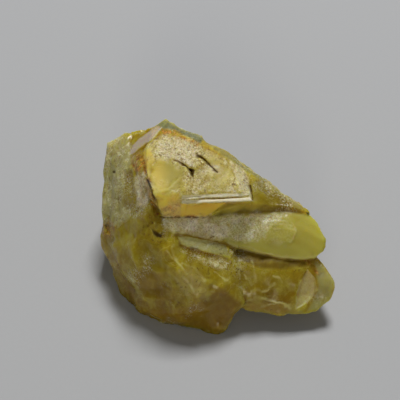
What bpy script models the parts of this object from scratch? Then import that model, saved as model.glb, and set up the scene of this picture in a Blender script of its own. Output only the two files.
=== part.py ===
"""Grossular garnet crystal: one broken crystal, about 31 mm long, 26 mm deep and 18 mm high.

A tall broken mass at the left carries a stepped cap on its top. A ridge runs down from the
peak to the right, a flat blade lies in front of that ridge, and a blunt arm reaches out
below the blade, clear of the surface the crystal stands on. The whole crystal is one solid:
masses are united, then fractures, pits and a crack are cut, and last it is centred on its base.
Corners are in millimetres, with x to the right, y to the back and z up.
"""

import bmesh
import bpy
from mathutils import Vector

MM = 0.001

# Driving sizes, in millimetres
BLADE_THICKNESS = 1.6
BLADE_SET_BACK = (-0.3, 0.5)
PLATE_ROOT = 0.6
CUT_REACH = 1.5
SCOOP_DETAIL = 4

# Each mass is the convex hull of its corners
MASSES = {
    # The tall left mass and the bulging front, down to the foot
    "main_mass": [
        # Rim of the broken left face, from the back corner down to the foot
        (-14.5, 7.6, 13.5), (-14.4, 1.5, 10.6), (-14.9, -0.4, 7.5), (-15.1, -2.4, 4.5),
        (-14.8, -3.2, 3.0), (-13.6, -4.8, 1.1), (-12.6, -7.5, 0.0), (-10.5, -10.4, 0.0),
        # Shoulder under the cap, from the back to the front
        (-12.0, 7.9, 14.6), (-10.9, 3.7, 15.1), (-9.5, -0.6, 15.2), (-8.2, -4.6, 14.2),
        (-7.3, -7.6, 12.0),
        # Front of the bulge
        (-10.8, -7.6, 8.8), (-9.6, -10.1, 5.6), (-5.9, -9.3, 10.8), (-4.4, -11.0, 9.2),
        (-1.9, -13.2, 5.7), (-8.4, -12.0, 1.8), (-5.1, -13.2, 3.2),
        # Right-hand front face, which ends at the notch beside the arm
        (-4.0, -8.6, 11.0), (1.9, -8.6, 8.8), (3.0, -9.4, 7.5), (2.9, -10.6, 6.5),
        (3.7, -12.1, 3.8), (0.9, -11.9, 6.9),
        # Foot
        (-8.2, -11.9, 0.0), (-6.5, -12.6, 0.0), (-4.5, -13.3, 0.0), (-1.9, -13.8, 0.0),
        (-0.1, -14.0, 0.0), (1.1, -13.9, 0.2), (2.2, -12.9, 1.6),
        # Inside and underside
        (-13.8, 7.2, 8.0), (-13.0, 6.2, 2.0), (-12.2, 5.2, 0.0), (-14.9, 2.6, 4.6),
        (-12.9, -2.0, 0.0), (-4.0, 6.0, 0.0), (2.2, -9.0, 0.0), (2.0, -4.0, 9.0),
        (-2.0, 4.0, 12.0), (-10.8, 7.2, 14.9),
    ],
    # The inside, which closes what the outer masses leave between them
    "core": [
        (-6.0, -5.0, 8.0), (2.5, -4.4, 8.0), (3.0, 1.0, 8.0), (-6.0, 5.0, 8.0),
        (-3.0, -4.8, 12.2), (0.5, -4.0, 11.7), (-5.0, -3.5, 14.5), (1.5, -2.8, 13.4),
        (2.0, 0.6, 14.0), (-5.0, 4.0, 15.5),
    ],
    # The hidden back, with broad crystal faces
    "back_mass": [
        (-14.4, 7.8, 12.9), (-12.0, 8.4, 13.6), (-6.6, 8.5, 16.4), (-1.5, 6.0, 15.0),
        (3.2, 3.7, 13.4), (8.4, 1.1, 11.0), (12.0, -1.5, 9.6),
        (-13.9, 9.7, 8.3), (-10.4, 11.7, 9.0), (-5.2, 12.2, 9.8), (1.8, 10.2, 8.8),
        (8.2, 5.4, 7.4), (12.4, -0.3, 6.6),
        (-14.5, 4.6, 7.0), (-14.0, 3.6, 2.0), (-12.7, 2.4, 0.0),
        (-12.9, 8.9, 1.7), (-10.6, 8.6, 0.0), (-6.2, 10.4, 0.0), (-1.4, 9.8, 0.0),
        (2.8, 7.4, 0.0), (6.8, 3.4, 1.0), (9.6, -1.2, 2.6),
        (-10.0, 0.0, 2.0), (-8.0, 2.0, 12.0), (6.0, -3.0, 8.0), (0.0, -6.0, 0.0),
        (3.2, -7.6, 2.2), (9.0, -4.0, 3.4),
    ],
    # The peak and the narrow rim that falls from it to the left
    "crest": [
        (-10.6, 7.2, 15.2), (-9.2, 7.1, 16.2), (-8.2, 7.2, 16.8), (-7.4, 7.5, 17.3),
        (-6.4, 7.8, 17.6), (-5.6, 7.2, 17.5), (-4.5, 6.7, 17.3), (-3.2, 6.1, 17.1),
        (-1.5, 4.1, 17.0),
        (-6.9, 6.0, 17.6), (-7.7, 4.5, 17.3), (-8.8, 3.8, 16.9), (-9.8, 3.3, 16.3),
        (-10.8, 3.3, 15.4), (-11.1, 4.0, 14.9), (-10.7, 5.2, 15.2),
        (-10.6, 8.2, 13.8), (-6.0, 9.6, 13.0), (-1.5, 7.4, 13.0), (-9.0, 2.0, 12.0),
        (-2.0, 2.0, 12.0), (-9.7, 2.2, 15.4),
    ],
    # The ridge that runs down to the right behind the blade
    "right_ridge": [
        (-4.5, 6.7, 17.2), (-1.5, 4.1, 17.0), (0.7, 3.4, 16.2), (3.3, 2.1, 15.2),
        (5.9, 0.9, 14.0), (8.5, -0.4, 12.7), (11.1, -1.9, 11.1), (12.1, -2.5, 10.4),
        (-0.9, 3.0, 17.0), (3.9, 0.7, 15.3), (8.7, -1.4, 12.7), (10.7, -2.5, 11.4),
        (4.7, -3.4, 13.3), (9.7, -2.6, 11.9), (0.9, -4.1, 13.2), (0.9, -4.1, 9.0),
        (6.1, -3.2, 9.0), (10.8, -2.5, 8.0),
        (-1.5, 6.6, 13.4), (3.4, 4.4, 12.0), (8.6, 1.8, 9.8), (12.0, -1.3, 8.8),
        (-4.0, 0.0, 10.0),
    ],
    # The blunt arm below the blade
    "arm": [
        (2.6, -9.2, 7.5), (3.2, -8.5, 7.8), (6.0, -8.4, 7.6), (9.0, -8.2, 7.2),
        (11.2, -7.8, 6.9), (13.0, -7.1, 6.4), (13.9, -7.6, 6.2), (14.6, -8.4, 5.6),
        (15.4, -9.3, 4.8), (15.1, -10.4, 3.9), (14.7, -11.2, 3.3), (13.8, -11.7, 2.7),
        (13.1, -12.2, 2.3), (11.6, -12.6, 2.1), (9.1, -12.6, 2.0), (6.1, -12.5, 2.0),
        (4.6, -12.2, 2.2), (3.8, -12.0, 2.6), (3.0, -11.0, 5.4), (4.2, -11.6, 4.4),
        (10.4, -12.2, 3.2), (13.1, -10.6, 4.6), (12.9, -9.5, 5.6),
        (14.4, -6.0, 3.4), (12.4, -3.0, 4.0), (9.0, -8.0, 1.5), (3.0, -9.0, 1.4),
        (2.0, -3.0, 1.4), (9.0, -1.6, 3.0), (2.0, -4.0, 8.4), (10.0, -3.0, 8.4),
        (0.0, -8.0, 3.0),
    ],
    # The frosted band that leads from the left mass into the blade
    "spine": [
        (-6.5, -6.1, 13.6), (-1.9, -5.6, 13.1), (0.9, -4.2, 12.3), (6.0, -3.3, 11.6),
        (3.2, -6.9, 9.3), (0.9, -7.2, 9.9), (-1.9, -7.5, 11.1), (-4.4, -7.6, 12.1),
        (-7.0, -7.4, 12.5), (-6.5, -3.0, 9.0), (3.0, -3.0, 7.0), (2.2, -7.6, 8.4),
        (-4.0, -8.0, 10.0),
    ],
    # The narrow step below that band
    "spine_step": [
        (-4.8, -7.5, 11.8), (-4.0, -8.75, 11.15), (-2.9, -8.9, 10.9), (1.9, -8.9, 8.95),
        (2.4, -7.9, 9.15), (0.9, -7.0, 9.6), (-1.9, -7.3, 10.8),
        (-4.0, -7.0, 9.0), (1.5, -7.0, 7.0),
    ],
    # The left half of the cap
    "cap_left": [
        (-7.1, 5.5, 18.0), (-8.8, 3.0, 17.5), (-9.6, 1.9, 16.7), (-9.9, 0.6, 16.2),
        (-8.5, -2.6, 16.6), (-7.7, -4.6, 16.0), (-7.1, -5.2, 15.2), (-6.5, -6.3, 13.9),
        (-4.1, -5.9, 13.4), (-3.6, -5.3, 15.1), (-3.6, -4.4, 16.1), (-3.0, 3.0, 17.5),
        (-10.6, 2.9, 15.2), (-10.1, 0.2, 15.2), (-8.4, -3.4, 14.4), (-7.0, 6.6, 16.2),
        (-2.0, 3.0, 12.0), (-3.0, -4.0, 11.0), (-9.0, 2.0, 12.0),
    ],
    # The honey-coloured face under the growth steps
    "cap_foot": [
        (-6.5, -6.1, 13.7), (-4.1, -5.9, 13.4), (-1.9, -5.85, 13.2), (-0.4, -5.0, 13.3),
        (0.2, -4.5, 13.9), (1.2, -4.2, 14.2), (4.6, -3.85, 14.2), (-4.6, -5.0, 15.2),
        (4.5, -3.6, 14.5), (3.0, 0.0, 14.5), (-4.6, 0.0, 16.0), (4.0, 0.0, 12.0),
        (-6.0, 0.0, 11.0), (4.4, -3.4, 12.0), (-4.0, -5.0, 11.0),
    ],
    # The lower growth step
    "cap_step_low": [
        (-4.1, -5.3, 15.2), (4.65, -4.1, 14.3), (-4.1, -4.95, 15.6), (4.5, -3.75, 14.7),
        (-4.3, 2.0, 15.8), (3.6, 0.5, 15.0), (-4.1, -4.0, 13.5), (4.0, -3.0, 13.0),
        (-4.0, 2.0, 13.0), (3.0, 1.0, 13.0),
    ],
    # The plateau with its upper growth step and its slanting right end
    "cap_right": [
        (-5.8, 5.2, 18.1), (-3.8, 4.1, 17.9), (-1.5, 2.7, 17.4), (-0.1, 2.3, 17.1),
        (1.8, 0.9, 16.7), (2.4, -1.6, 16.0), (3.1, -3.45, 15.55), (-4.0, -4.25, 16.2),
        (-4.0, -4.65, 15.75), (4.2, -3.5, 14.9), (4.5, -3.4, 14.6), (4.0, -0.1, 15.2),
        (3.2, 1.1, 15.9), (-4.0, -4.6, 15.3), (4.3, -3.3, 14.0),
        (-5.5, 6.4, 17.3), (-3.0, 5.4, 17.0), (0.6, 3.2, 16.3), (2.8, 2.0, 15.3),
        (-5.0, 3.0, 13.0), (3.0, 1.0, 12.0), (3.8, -3.0, 12.0), (-4.0, -4.0, 13.0),
    ],
}

BLADE_OUTLINE = [
    (0.9, -4.1, 12.0), (6.0, -3.3, 11.7), (8.9, -2.7, 11.2), (11.7, -2.7, 10.6),
    (12.7, -3.4, 10.2), (13.6, -4.4, 9.6), (14.0, -5.7, 8.8), (13.8, -6.7, 8.0),
    (12.9, -7.5, 7.4), (10.9, -7.7, 7.4), (9.0, -7.8, 7.6), (6.0, -7.4, 8.4),
    (3.2, -7.0, 9.2), (1.3, -6.7, 9.8),
]

# A thin plate left by the crystal's growth: its corners, the way out of the face, and its height
GROWTH_PLATES = {
    "blade_plate": (
        [(6.0, -4.5, 11.0), (9.0, -4.0, 10.7), (10.5, -5.2, 9.7), (9.6, -6.3, 8.9),
         (7.7, -6.6, 9.1), (6.0, -6.3, 9.5)],
        (0.13, -0.57, 0.81), 0.16,
    ),
}

# Shell-shaped fractures: a sphere's centre and radius
SCOOPS = {
    "cap_lens": ((-6.3, -3.6, 27.2), 11.0),
    "olive_hollow": ((7.2, -1.6, 16.6), 3.4),
    "left_hollow": ((-25.2, -1.9, 17.7), 14.0),
    "back_low_hollow": ((11.4, 12.4, 3.0), 9.0),
    "back_high_hollow": ((-14.0, 16.4, 15.0), 8.6),
    "underside_hollow": ((-4.0, 3.0, -17.2), 18.0),
}

# Pits and splinters: corners on the surface, the way out of it, and a depth at each corner
CHIPS = {
    "cap_pit": (
        [(-3.7, -0.6, 16.9), (-2.8, -0.4, 16.9), (-2.9, -2.2, 16.5)],
        (0.1, -0.2, 0.97), (0.5, 0.7, 0.15),
    ),
    "cap_pit_tail": (
        [(-5.1, 0.4, 17.2), (-5.0, 0.15, 17.2), (-3.5, -0.75, 16.9), (-3.3, -0.4, 16.9)],
        (0.1, -0.2, 0.97), (0.05, 0.1, 0.35, 0.35),
    ),
    "cap_crack": (
        [(-2.3, 1.4, 17.2), (-2.2, 1.1, 17.2), (-0.9, 0.5, 16.9), (-1.0, 0.15, 16.9),
         (0.3, -0.7, 16.5)],
        (0.1, -0.2, 0.97), (0.15, 0.5, 0.2, 0.7, 0.1),
    ),
    "shoulder_pit": (
        [(-7.5, -7.2, 12.3), (-7.3, -7.6, 12.0), (-6.4, -8.0, 11.7), (-6.6, -7.5, 12.0)],
        (-0.1, -0.6, 0.8), (0.3, 0.6, 0.5, 0.6),
    ),
    "rust_pit": (
        [(-14.8, -0.8, 7.1), (-14.4, -2.4, 6.3), (-13.7, -3.1, 6.9), (-13.4, -2.9, 7.9),
         (-13.9, -1.2, 8.4)],
        (-0.84, -0.42, 0.34), (0.12, 0.3, 0.2, 0.12, 0.3),
    ),
    "back_ledge_high": (
        [(-3.9, 10.3, 13.0), (1.8, 6.4, 12.1), (6.8, 3.3, 10.5), (6.4, 8.0, 6.7),
         (-2.5, 13.5, 9.2)],
        (0.5, 0.57, 0.65), (0.3, 0.3, -0.05, -0.05, 0.3),
    ),
    "back_ledge_low": (
        [(-3.1, 11.0, 11.8), (-0.6, 9.2, 11.5), (0.2, 9.4, 10.7), (5.0, 6.5, 9.3),
         (5.2, 9.9, 6.2), (-2.5, 13.5, 9.2)],
        (0.5, 0.57, 0.65), (0.6, 0.6, 0.6, 0.05, 0.1, 0.6),
    ),
    "arm_splinter": (
        [(11.8, -8.7, 6.3), (12.9, -9.4, 5.6), (13.1, -10.6, 4.6), (12.5, -11.3, 3.8),
         (11.3, -12.0, 3.2), (10.4, -12.3, 2.9), (10.5, -11.2, 4.3), (10.9, -10.1, 5.4)],
        (0.15, -0.7, 0.69), (0.2, 0.05, 0.05, 0.1, 0.15, 0.4, 0.5, 0.5),
    ),
}


def clear_scene():
    for item in list(bpy.data.objects):
        bpy.data.objects.remove(item, do_unlink=True)


def solid_object(name, shape):
    """Turns a bmesh into an object and frees the bmesh."""
    bmesh.ops.recalc_face_normals(shape, faces=shape.faces)
    mesh = bpy.data.meshes.new(name)
    shape.to_mesh(mesh)
    shape.free()
    item = bpy.data.objects.new(name, mesh)
    bpy.context.scene.collection.objects.link(item)
    return item


def hull_object(name, corners):
    """A closed convex solid around the corners."""
    shape = bmesh.new()
    for corner in corners:
        shape.verts.new(corner)
    made = bmesh.ops.convex_hull(shape, input=shape.verts)
    spare = made["geom_interior"] + made["geom_unused"]
    inner = [item for item in set(spare) if isinstance(item, bmesh.types.BMVert)]
    bmesh.ops.delete(shape, geom=inner, context="VERTS")
    return solid_object(name, shape)


def scoop_object(name, centre, radius):
    shape = bmesh.new()
    bmesh.ops.create_icosphere(shape, subdivisions=SCOOP_DETAIL, radius=radius)
    bmesh.ops.translate(shape, verts=shape.verts, vec=centre)
    return solid_object(name, shape)


def offset(corner, way_out, distance):
    return Vector(corner) + Vector(way_out).normalized() * distance


def plate_object(name, corners, way_out, height):
    """A thin plate that stands proud of its face and is rooted below it."""
    top = [offset(corner, way_out, height) for corner in corners]
    root = [offset(corner, way_out, -PLATE_ROOT) for corner in corners]
    return hull_object(name, top + root)


def chip_object(name, corners, way_out, depths):
    """A cutter that reaches each depth below its corners and stands clear above them."""
    floor = [offset(corner, way_out, -depth) for corner, depth in zip(corners, depths)]
    above = [offset(corner, way_out, CUT_REACH) for corner in corners]
    return hull_object(name, floor + above)


def blade_object():
    """The blade: its upper outline, and the same outline lowered and set back."""
    back_x, back_y = BLADE_SET_BACK
    lower = [(x + back_x, y + back_y, z - BLADE_THICKNESS) for x, y, z in BLADE_OUTLINE]
    return hull_object("blade", BLADE_OUTLINE + lower)


def join(base, other, operation):
    """Unites base with the other solid or cuts it away, and removes the other solid."""
    step = base.modifiers.new(other.name, "BOOLEAN")
    step.operation = operation
    step.solver = "EXACT"
    step.object = other
    graph = bpy.context.evaluated_depsgraph_get()
    result = bpy.data.meshes.new_from_object(base.evaluated_get(graph))
    base.modifiers.clear()
    base.data = result
    bpy.data.objects.remove(other, do_unlink=True)


def settle_on_base(item):
    """Puts the origin at the middle of the crystal's box, on its base, and turns it to metres."""
    points = [vertex.co for vertex in item.data.vertices]
    low = Vector([min(point[axis] for point in points) for axis in range(3)])
    high = Vector([max(point[axis] for point in points) for axis in range(3)])
    shift = Vector(((low.x + high.x) / 2, (low.y + high.y) / 2, low.z))
    for vertex in item.data.vertices:
        vertex.co = (vertex.co - shift) * MM


def garnet_material():
    material = bpy.data.materials.new("garnet")
    material.use_nodes = True
    shader = material.node_tree.nodes["Principled BSDF"]
    shader.inputs["Base Color"].default_value = (0.36, 0.3, 0.06, 1.0)
    shader.inputs["Roughness"].default_value = 0.25
    shader.inputs["Metallic"].default_value = 0.0
    shader.inputs["IOR"].default_value = 1.74
    shader.inputs["Transmission Weight"].default_value = 0.4
    return material


def build_crystal():
    names = list(MASSES)
    crystal = hull_object("garnet_crystal", MASSES[names[0]])
    for name in names[1:]:
        join(crystal, hull_object(name, MASSES[name]), "UNION")
    join(crystal, blade_object(), "UNION")
    for name, plate in GROWTH_PLATES.items():
        join(crystal, plate_object(name, *plate), "UNION")
    for name, scoop in SCOOPS.items():
        join(crystal, scoop_object(name, *scoop), "DIFFERENCE")
    for name, chip in CHIPS.items():
        join(crystal, chip_object(name, *chip), "DIFFERENCE")
    settle_on_base(crystal)
    crystal.data.materials.clear()
    crystal.data.materials.append(garnet_material())


clear_scene()
build_crystal()
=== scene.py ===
"""Looks of the grossular garnet crystal.

The solid is copied at a fine pitch, and the copy gets what the solid leaves out: hackly breaks,
grain, growth steps, growth lines, hairline cracks and pits, all as real relief. One procedural
material then gives the body its cloudy, yellow-green depth, the honey-coloured step, the frosted
breaks and the rusty cracks. It also paints light and shade into the colour: shade low down, under
the blade and in hollows and creases, and light at edges, in glints, on the growth steps, as a glow
on the honey step and as a reflection on the mirror-like facet.

Markings on the side that the camera sees are placed by outlines and paths in the picture, in pixels
of a 400-pixel picture. Each becomes a share from 0 to 1 at the points that face the camera with
nothing before them, and the mesh stores it, so the material doesn't depend on the camera. The
hidden sides get their frost, rust and flecks from noise.

Lengths are in millimetres, apart from those of the stage, which are in metres.
"""

import math

import bpy
import numpy as np
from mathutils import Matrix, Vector


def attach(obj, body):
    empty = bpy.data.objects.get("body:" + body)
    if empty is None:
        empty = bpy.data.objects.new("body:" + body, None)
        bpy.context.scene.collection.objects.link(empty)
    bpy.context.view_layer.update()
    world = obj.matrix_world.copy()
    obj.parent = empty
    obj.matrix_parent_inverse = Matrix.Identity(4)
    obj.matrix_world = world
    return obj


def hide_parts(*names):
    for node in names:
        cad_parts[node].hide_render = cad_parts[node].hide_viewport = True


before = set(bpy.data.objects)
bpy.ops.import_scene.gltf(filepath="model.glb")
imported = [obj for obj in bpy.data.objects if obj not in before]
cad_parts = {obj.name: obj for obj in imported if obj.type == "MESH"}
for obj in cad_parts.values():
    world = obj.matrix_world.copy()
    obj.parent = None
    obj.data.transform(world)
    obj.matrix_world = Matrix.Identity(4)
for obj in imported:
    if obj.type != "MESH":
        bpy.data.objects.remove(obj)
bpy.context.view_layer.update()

MM = 0.001

# Fine mesh
PITCH = 0.115
MOST_TRIANGLES = 196000

# Camera, found from the fine ribs of the surface in the photo
IMAGE_SIDE = 400
FOCAL_PIXELS = 872.0
CAMERA_TILT = math.radians(47.0)
CAMERA_DISTANCE = 129.0
CAMERA_TARGET = np.array((-2.05, 10.4, 0.0))
CAMERA_BACK = np.array((0.0, -math.cos(CAMERA_TILT), math.sin(CAMERA_TILT)))
CAMERA_UP = np.array((0.0, math.sin(CAMERA_TILT), math.cos(CAMERA_TILT)))
CAMERA_PLACE = CAMERA_TARGET + CAMERA_DISTANCE * CAMERA_BACK
CAMERA_SENSOR = 36.0
CAMERA_CLIP = 1.0

# A point is covered when another in its cell of the picture is nearer. The cell is in pixels, and the
# depths are where covering starts and where it is full. A point counts in full when it faces the
# camera by at least FACING_FULL, the cosine of the angle.
SIGHT_CELL = 1.5
COVERED_FROM = 1.0
COVERED_TO = 2.0
FACING_FULL = 0.25

# Heights between which the blade begins: what its outline covers lower down isn't blade
BLADE_FOOT = (5.4, 5.9)

# Heights between which the body turns from brown to olive: painted shade, darker towards the floor.
# Heights between which hidden sides turn from olive to a lighter green: painted light towards the top.
LOW_SPAN = (1.0, 10.0)
LOW_WAVE_HEIGHT = 1.2
HIDDEN_GREEN_SPAN = (8.0, 15.0)

# Smoothing: rounds, the share of the way that a point moves in each, and blurs of outlines in pixels
FIRST_SMOOTHING = (2, 0.5)
SHELL_ROUNDS = 45
PIT_ROUNDS = 150
SHELL_SHARE = 0.8
SHELL_BLUR = 5.0
PIT_BLUR = 6.0
BULGE_SMOOTHING = (10, 0.6)

# How far a point stands out from its smoothed place at an edge, or lies behind it in a hollow.
# Edges are painted lighter as a glow of light, hollows darker as painted shade.
EDGE_SPAN = (0.01, 0.09)
HOLLOW_SPAN = (0.01, 0.10)

# Flat facets of the broken surface: height, size and seed
COARSE_FACETS = (0.36, 3.4, 31)
MIDDLE_FACETS = (0.24, 1.6, 37)
SMALL_FACETS = (0.15, 0.8, 41)
GRAIN_FACETS = (0.10, 0.4, 43)

# Other relief
SWELL_HEIGHT = 0.02
CRACK_DEPTH = 0.26
VEIN_HEIGHT = 0.03
STEP_HEIGHT = 0.16
STEP_REACH = 1.7
BLADE_LINE_HEIGHT = 0.022
BLADE_LINE_RATE = 9.0
BLADE_LINE_DRIFT = (2.0, 47)
BLADE_LINE_ACROSS = np.array((0.12, 0.85, -0.5))
STRIA_HEIGHT = 0.05
BLADE_RIM_HEIGHT = 0.05
LENS_RIDGE_HEIGHT = 0.08


# Noise in plain numpy, so that each run gives the same relief

TABLE_SIDE = 64
TABLE = np.random.default_rng(20).uniform(-1.0, 1.0, (TABLE_SIDE, TABLE_SIDE, TABLE_SIDE))
TABLE = TABLE.astype(np.float32).ravel()
SEED_STEP = (7, 13, 29)
LAYER_SHIFT = 7.3

# Layered noises: size in millimetres, number of layers, seed
DRIFTS = ((1.3, 3, 101), (1.3, 3, 111))
RAGGED = (0.5, 3, 121)
PATCHES = (2.2, 3, 11)
FINE_PATCHES = (0.9, 3, 15)
FROST_BLOTCHES = (1.3, 3, 13)
HIDDEN_ASH = (2.6, 3, 27)
HIDDEN_RUST = (4.0, 3, 19)
LOW_WAVES = (4.0, 2, 23)
GLINT_PATCHES = (3.0, 3, 61)
FLECK_PATCHES = (3.5, 3, 67)
SWELL = (1.8, 2, 45)

# Turns the facets away from the frame's axes
TURN = np.array(((0.83, -0.48, 0.28), (0.36, 0.86, 0.36), (-0.42, -0.19, 0.89)))


def lattice(cells, seed):
    """A repeatable number from -1 to 1 for each corner of a whole-number grid."""
    x, y, z = ((cells[:, axis] + seed * SEED_STEP[axis]) % TABLE_SIDE for axis in range(3))
    return TABLE[(x * TABLE_SIDE + y) * TABLE_SIDE + z]


def soft_noise(points, size, seed):
    """Smooth noise from -1 to 1 with lumps of about size millimetres."""
    scaled = points / size
    base = np.floor(scaled).astype(np.int64)
    part = scaled - base
    part = part * part * part * (part * (part * 6 - 15) + 10)
    shares = (1 - part, part)
    total = np.zeros(len(points))
    for corner in np.ndindex(2, 2, 2):
        weight = shares[corner[0]][:, 0] * shares[corner[1]][:, 1] * shares[corner[2]][:, 2]
        total += weight * lattice(base + np.array(corner), seed)
    return total


def layered_noise(points, size, layers, seed, falloff=0.5):
    """Smooth noise in layers, each half the size of the one before and falloff as strong."""
    total = np.zeros(len(points))
    share = 1.0
    for layer in range(layers):
        total += share * soft_noise(points + LAYER_SHIFT * layer, size / 2 ** layer, seed + layer)
        share *= falloff
    return total


def facet_noise(points, size, seed):
    """Noise from -1 to 1 made of flat facets that meet at sharp edges."""
    scaled = points @ TURN / size
    corner = np.floor(scaled).astype(np.int64)
    part = scaled - corner
    order = np.argsort(-part, axis=1)
    part = np.take_along_axis(part, order, axis=1)
    rows = np.arange(len(points))
    total = (1 - part[:, 0]) * lattice(corner, seed)
    for rank in range(3):
        corner[rows, order[:, rank]] += 1
        after = part[:, rank + 1] if rank < 2 else 0.0
        total += (part[:, rank] - after) * lattice(corner, seed)
    return total


def step_up(low, high, value):
    """0 up to low, 1 from high on, and a smooth rise between."""
    part = np.clip((value - low) / (high - low), 0, 1)
    return part * part * (3 - 2 * part)


# Markings, as outlines and paths in the picture

# The stepped cap
CAP = [
    (144, 152), (147, 146), (152, 140), (158, 136), (166, 133), (176, 136), (186, 139), (195, 143),
    (205, 149), (216, 154), (229, 159), (237, 164), (245, 171), (249, 181), (252.5, 200.5), (228, 203),
    (219, 208), (211, 214), (203, 217), (190, 216.5), (175, 216), (162, 216), (158, 207), (153, 195),
    (148, 180), (146, 166),
]
CAP_MARGIN = [
    (144, 152), (150, 148), (153, 158), (150, 168), (151, 182), (157, 191), (166, 194), (180, 193),
    (181, 204), (181, 216), (163, 217), (158, 206), (153, 195), (148, 180), (145, 166),
]
CAP_TOP = [(158, 136), (168, 134), (182, 138), (197, 144), (212, 152), (226, 158)]
LENS = [
    (152, 160), (158, 157), (166, 159), (174, 165), (181, 171), (183, 178), (181, 186), (174, 191),
    (165, 192), (157, 190), (152, 181), (150, 170),
]
LENS_RIDGE = [(156, 193), (163, 190), (168, 189), (174, 185), (180, 179)]
RISER = [(181, 203.5), (227, 203), (219, 208), (211, 214), (203, 217.5), (190, 217), (180, 216)]
TAN_CORNER = [(159, 205), (181, 204), (181, 216), (163, 217)]
TRIANGLE = [
    (229, 159.5), (236, 163.5), (244, 170.5), (248.5, 181), (252, 200), (242, 196), (238, 185),
    (233.5, 172),
]
PALE_GRAIN = [
    (155, 146), (160, 139), (168, 135), (180, 138), (192, 143), (198, 151), (196, 160), (192, 166),
    (184, 163), (176, 160), (168, 158), (160, 154),
]
BROWN_GRAIN = [
    (184, 168), (192, 158), (200, 156), (206, 170), (212, 182), (206, 192), (184, 194), (184, 180),
]
SMOOTH_GREEN = [
    (203, 157), (212, 156), (224, 162), (230, 172), (228, 181), (221, 184), (214, 178), (207, 168),
]
GROWTH_STEPS = [
    [
        (182.5, 195.6), (215, 194.2), (243, 193.4), (250, 194.4), (243, 196.2), (215, 197.4),
        (182.5, 198.6),
    ],
    [
        (182, 200.6), (215, 199.4), (250, 197.2), (252.5, 201), (215, 202.4), (182, 203.4),
    ],
]
STEP_LINES = [((182, 197.1), (250, 195.2)), ((182, 202.0), (252, 199.2))]
STEP_GROOVE = [(183, 199.4), (215, 198.6), (242, 197.2)]
CAP_CRACK = [
    (146, 168), (147.5, 180), (150.5, 188), (153.5, 196), (157.5, 203), (160.5, 212), (163.5, 216.5),
]
CAP_FOOT_CRACK = [(161, 216.8), (175, 217.3), (192, 217.8), (205, 218.2)]
CAP_RIGHT_CRACK = [(250.5, 186), (252, 194), (253.3, 201)]
PIT = [(185, 166.5), (194, 168.5), (193, 178), (190.5, 175.5), (188, 171)]
PIT_TAIL = [(175, 160.8), (179, 161.5), (183, 164), (187, 167)]
CREST_CRACK = [(197.5, 155.5), (202, 158), (206, 162.5), (211, 167), (216, 171)]

# The crest and the slope behind the blade
MIRROR = [
    (129, 154), (133, 145), (140, 138), (152, 129), (158, 126.5), (162, 127), (155, 137), (147, 143),
    (139, 149), (133, 154),
]
CREST = [
    (155, 126), (160, 121), (166, 117), (172, 120), (180, 125), (190, 129), (196, 132), (204, 139),
    (200, 144), (190, 138), (180, 133), (170, 129), (163, 128),
]
OLIVE_FACE = [
    (252, 184), (260, 178), (275, 184), (290, 196), (303, 208), (300, 213), (285, 213), (262, 212.5),
    (235, 214), (214, 216), (222, 208), (230, 203.5), (253, 202),
]
SHELL = [(250, 176), (262, 173), (275, 182), (272, 194), (258, 192), (250, 186)]
FAR_BEVEL = [
    (204, 141), (220, 148), (240, 160), (260, 174), (280, 188), (306, 210), (300, 209), (275, 192),
    (255, 177), (235, 163), (215, 151),
]

# The blade
BLADE = [
    (212, 217), (235, 214.5), (262, 212.5), (287, 212), (303, 213), (316, 220), (323, 229), (326, 240),
    (323, 252), (318, 258), (305, 260), (285, 258.5), (262, 254.5), (245, 250), (230, 244.5),
    (220, 238), (210, 229),
]
BLADE_FROST = [
    (212, 218), (235, 215), (262, 213.5), (290, 213), (284, 218), (272, 222), (264, 232), (258, 240),
    (240, 242), (228, 240), (216, 230),
]
BLADE_RIM = [(229, 243.5), (245, 249), (262, 253), (285, 257), (305, 258), (317, 256)]
BLADE_TOP_SHADE = [(207, 217.5), (225, 215.3), (250, 213.2), (272, 212.2)]
PLATE = [(264, 215), (287, 214.5), (296.5, 230), (291, 242), (276, 243.5), (265, 244), (262, 232)]
PLATE_FADE = [(256, 228), (264, 231), (276, 238), (287, 239), (290, 248), (262, 249), (253, 238)]
STRIAE = [
    [(246, 216), (262, 215.8), (289, 217.5)], [(258, 219.3), (276, 220), (291, 222)],
    [(264, 223.6), (280, 224.2), (294, 226.6)], [(268, 228), (282, 229), (296, 230.6)],
    [(296.5, 230), (294, 236), (290.5, 242)], [(285, 214), (290.5, 221), (296.5, 230)],
]

# The frosted spine under the cap, and the step below it
SPINE = [(162, 218), (205, 217), (215, 222), (228, 239), (212, 240), (182, 234), (165, 229)]
SPINE_PALE = [(180, 222), (198, 220.5), (201, 231), (186, 233), (178, 229)]
SPINE_GRAIN = [(203, 223), (214, 223), (224, 231), (228, 238), (216, 238), (204, 233)]
SPINE_PIT = [(152.5, 229.8), (156, 231.5), (162.5, 234), (162, 237), (158, 236.5), (155, 234)]
PIT_RIM = [(150, 227), (166, 228), (168, 241), (152, 241)]
STEP_FACET = [
    (178, 237), (190, 238), (210, 241), (226, 246), (229, 255), (215, 254), (196, 249), (181, 244),
]
# Lines of painted shade along the step facet
STEP_SHADE_LINES = [
    [(176, 234.5), (190, 236.5), (208, 240), (228, 245)],
    [(181, 246), (192, 249.5), (205, 252.5), (214, 255)],
]
GLITTER = [(182, 248), (200, 252), (222, 258), (234, 262), (228, 270), (205, 266), (188, 260)]

# The left mass
LEFT_GRAIN = [
    (105, 141), (126, 134), (134, 150), (131, 170), (124, 172), (124, 200), (132, 215), (118, 226),
    (100, 226), (104, 195),
]
LEFT_RIM = [(109, 142), (108, 155), (107, 175), (105, 195), (104, 210)]
LEFT_SMOOTH = [(124, 172), (133, 170), (135, 185), (132, 201), (124, 200)]
LEFT_STREAK = [(136, 174), (145, 172), (147, 190), (146, 206), (139, 207), (135, 195)]
ORANGE_BAND = [(145, 176), (149, 180), (154, 195), (159, 207), (156, 212), (150, 204), (147, 192)]

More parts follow.
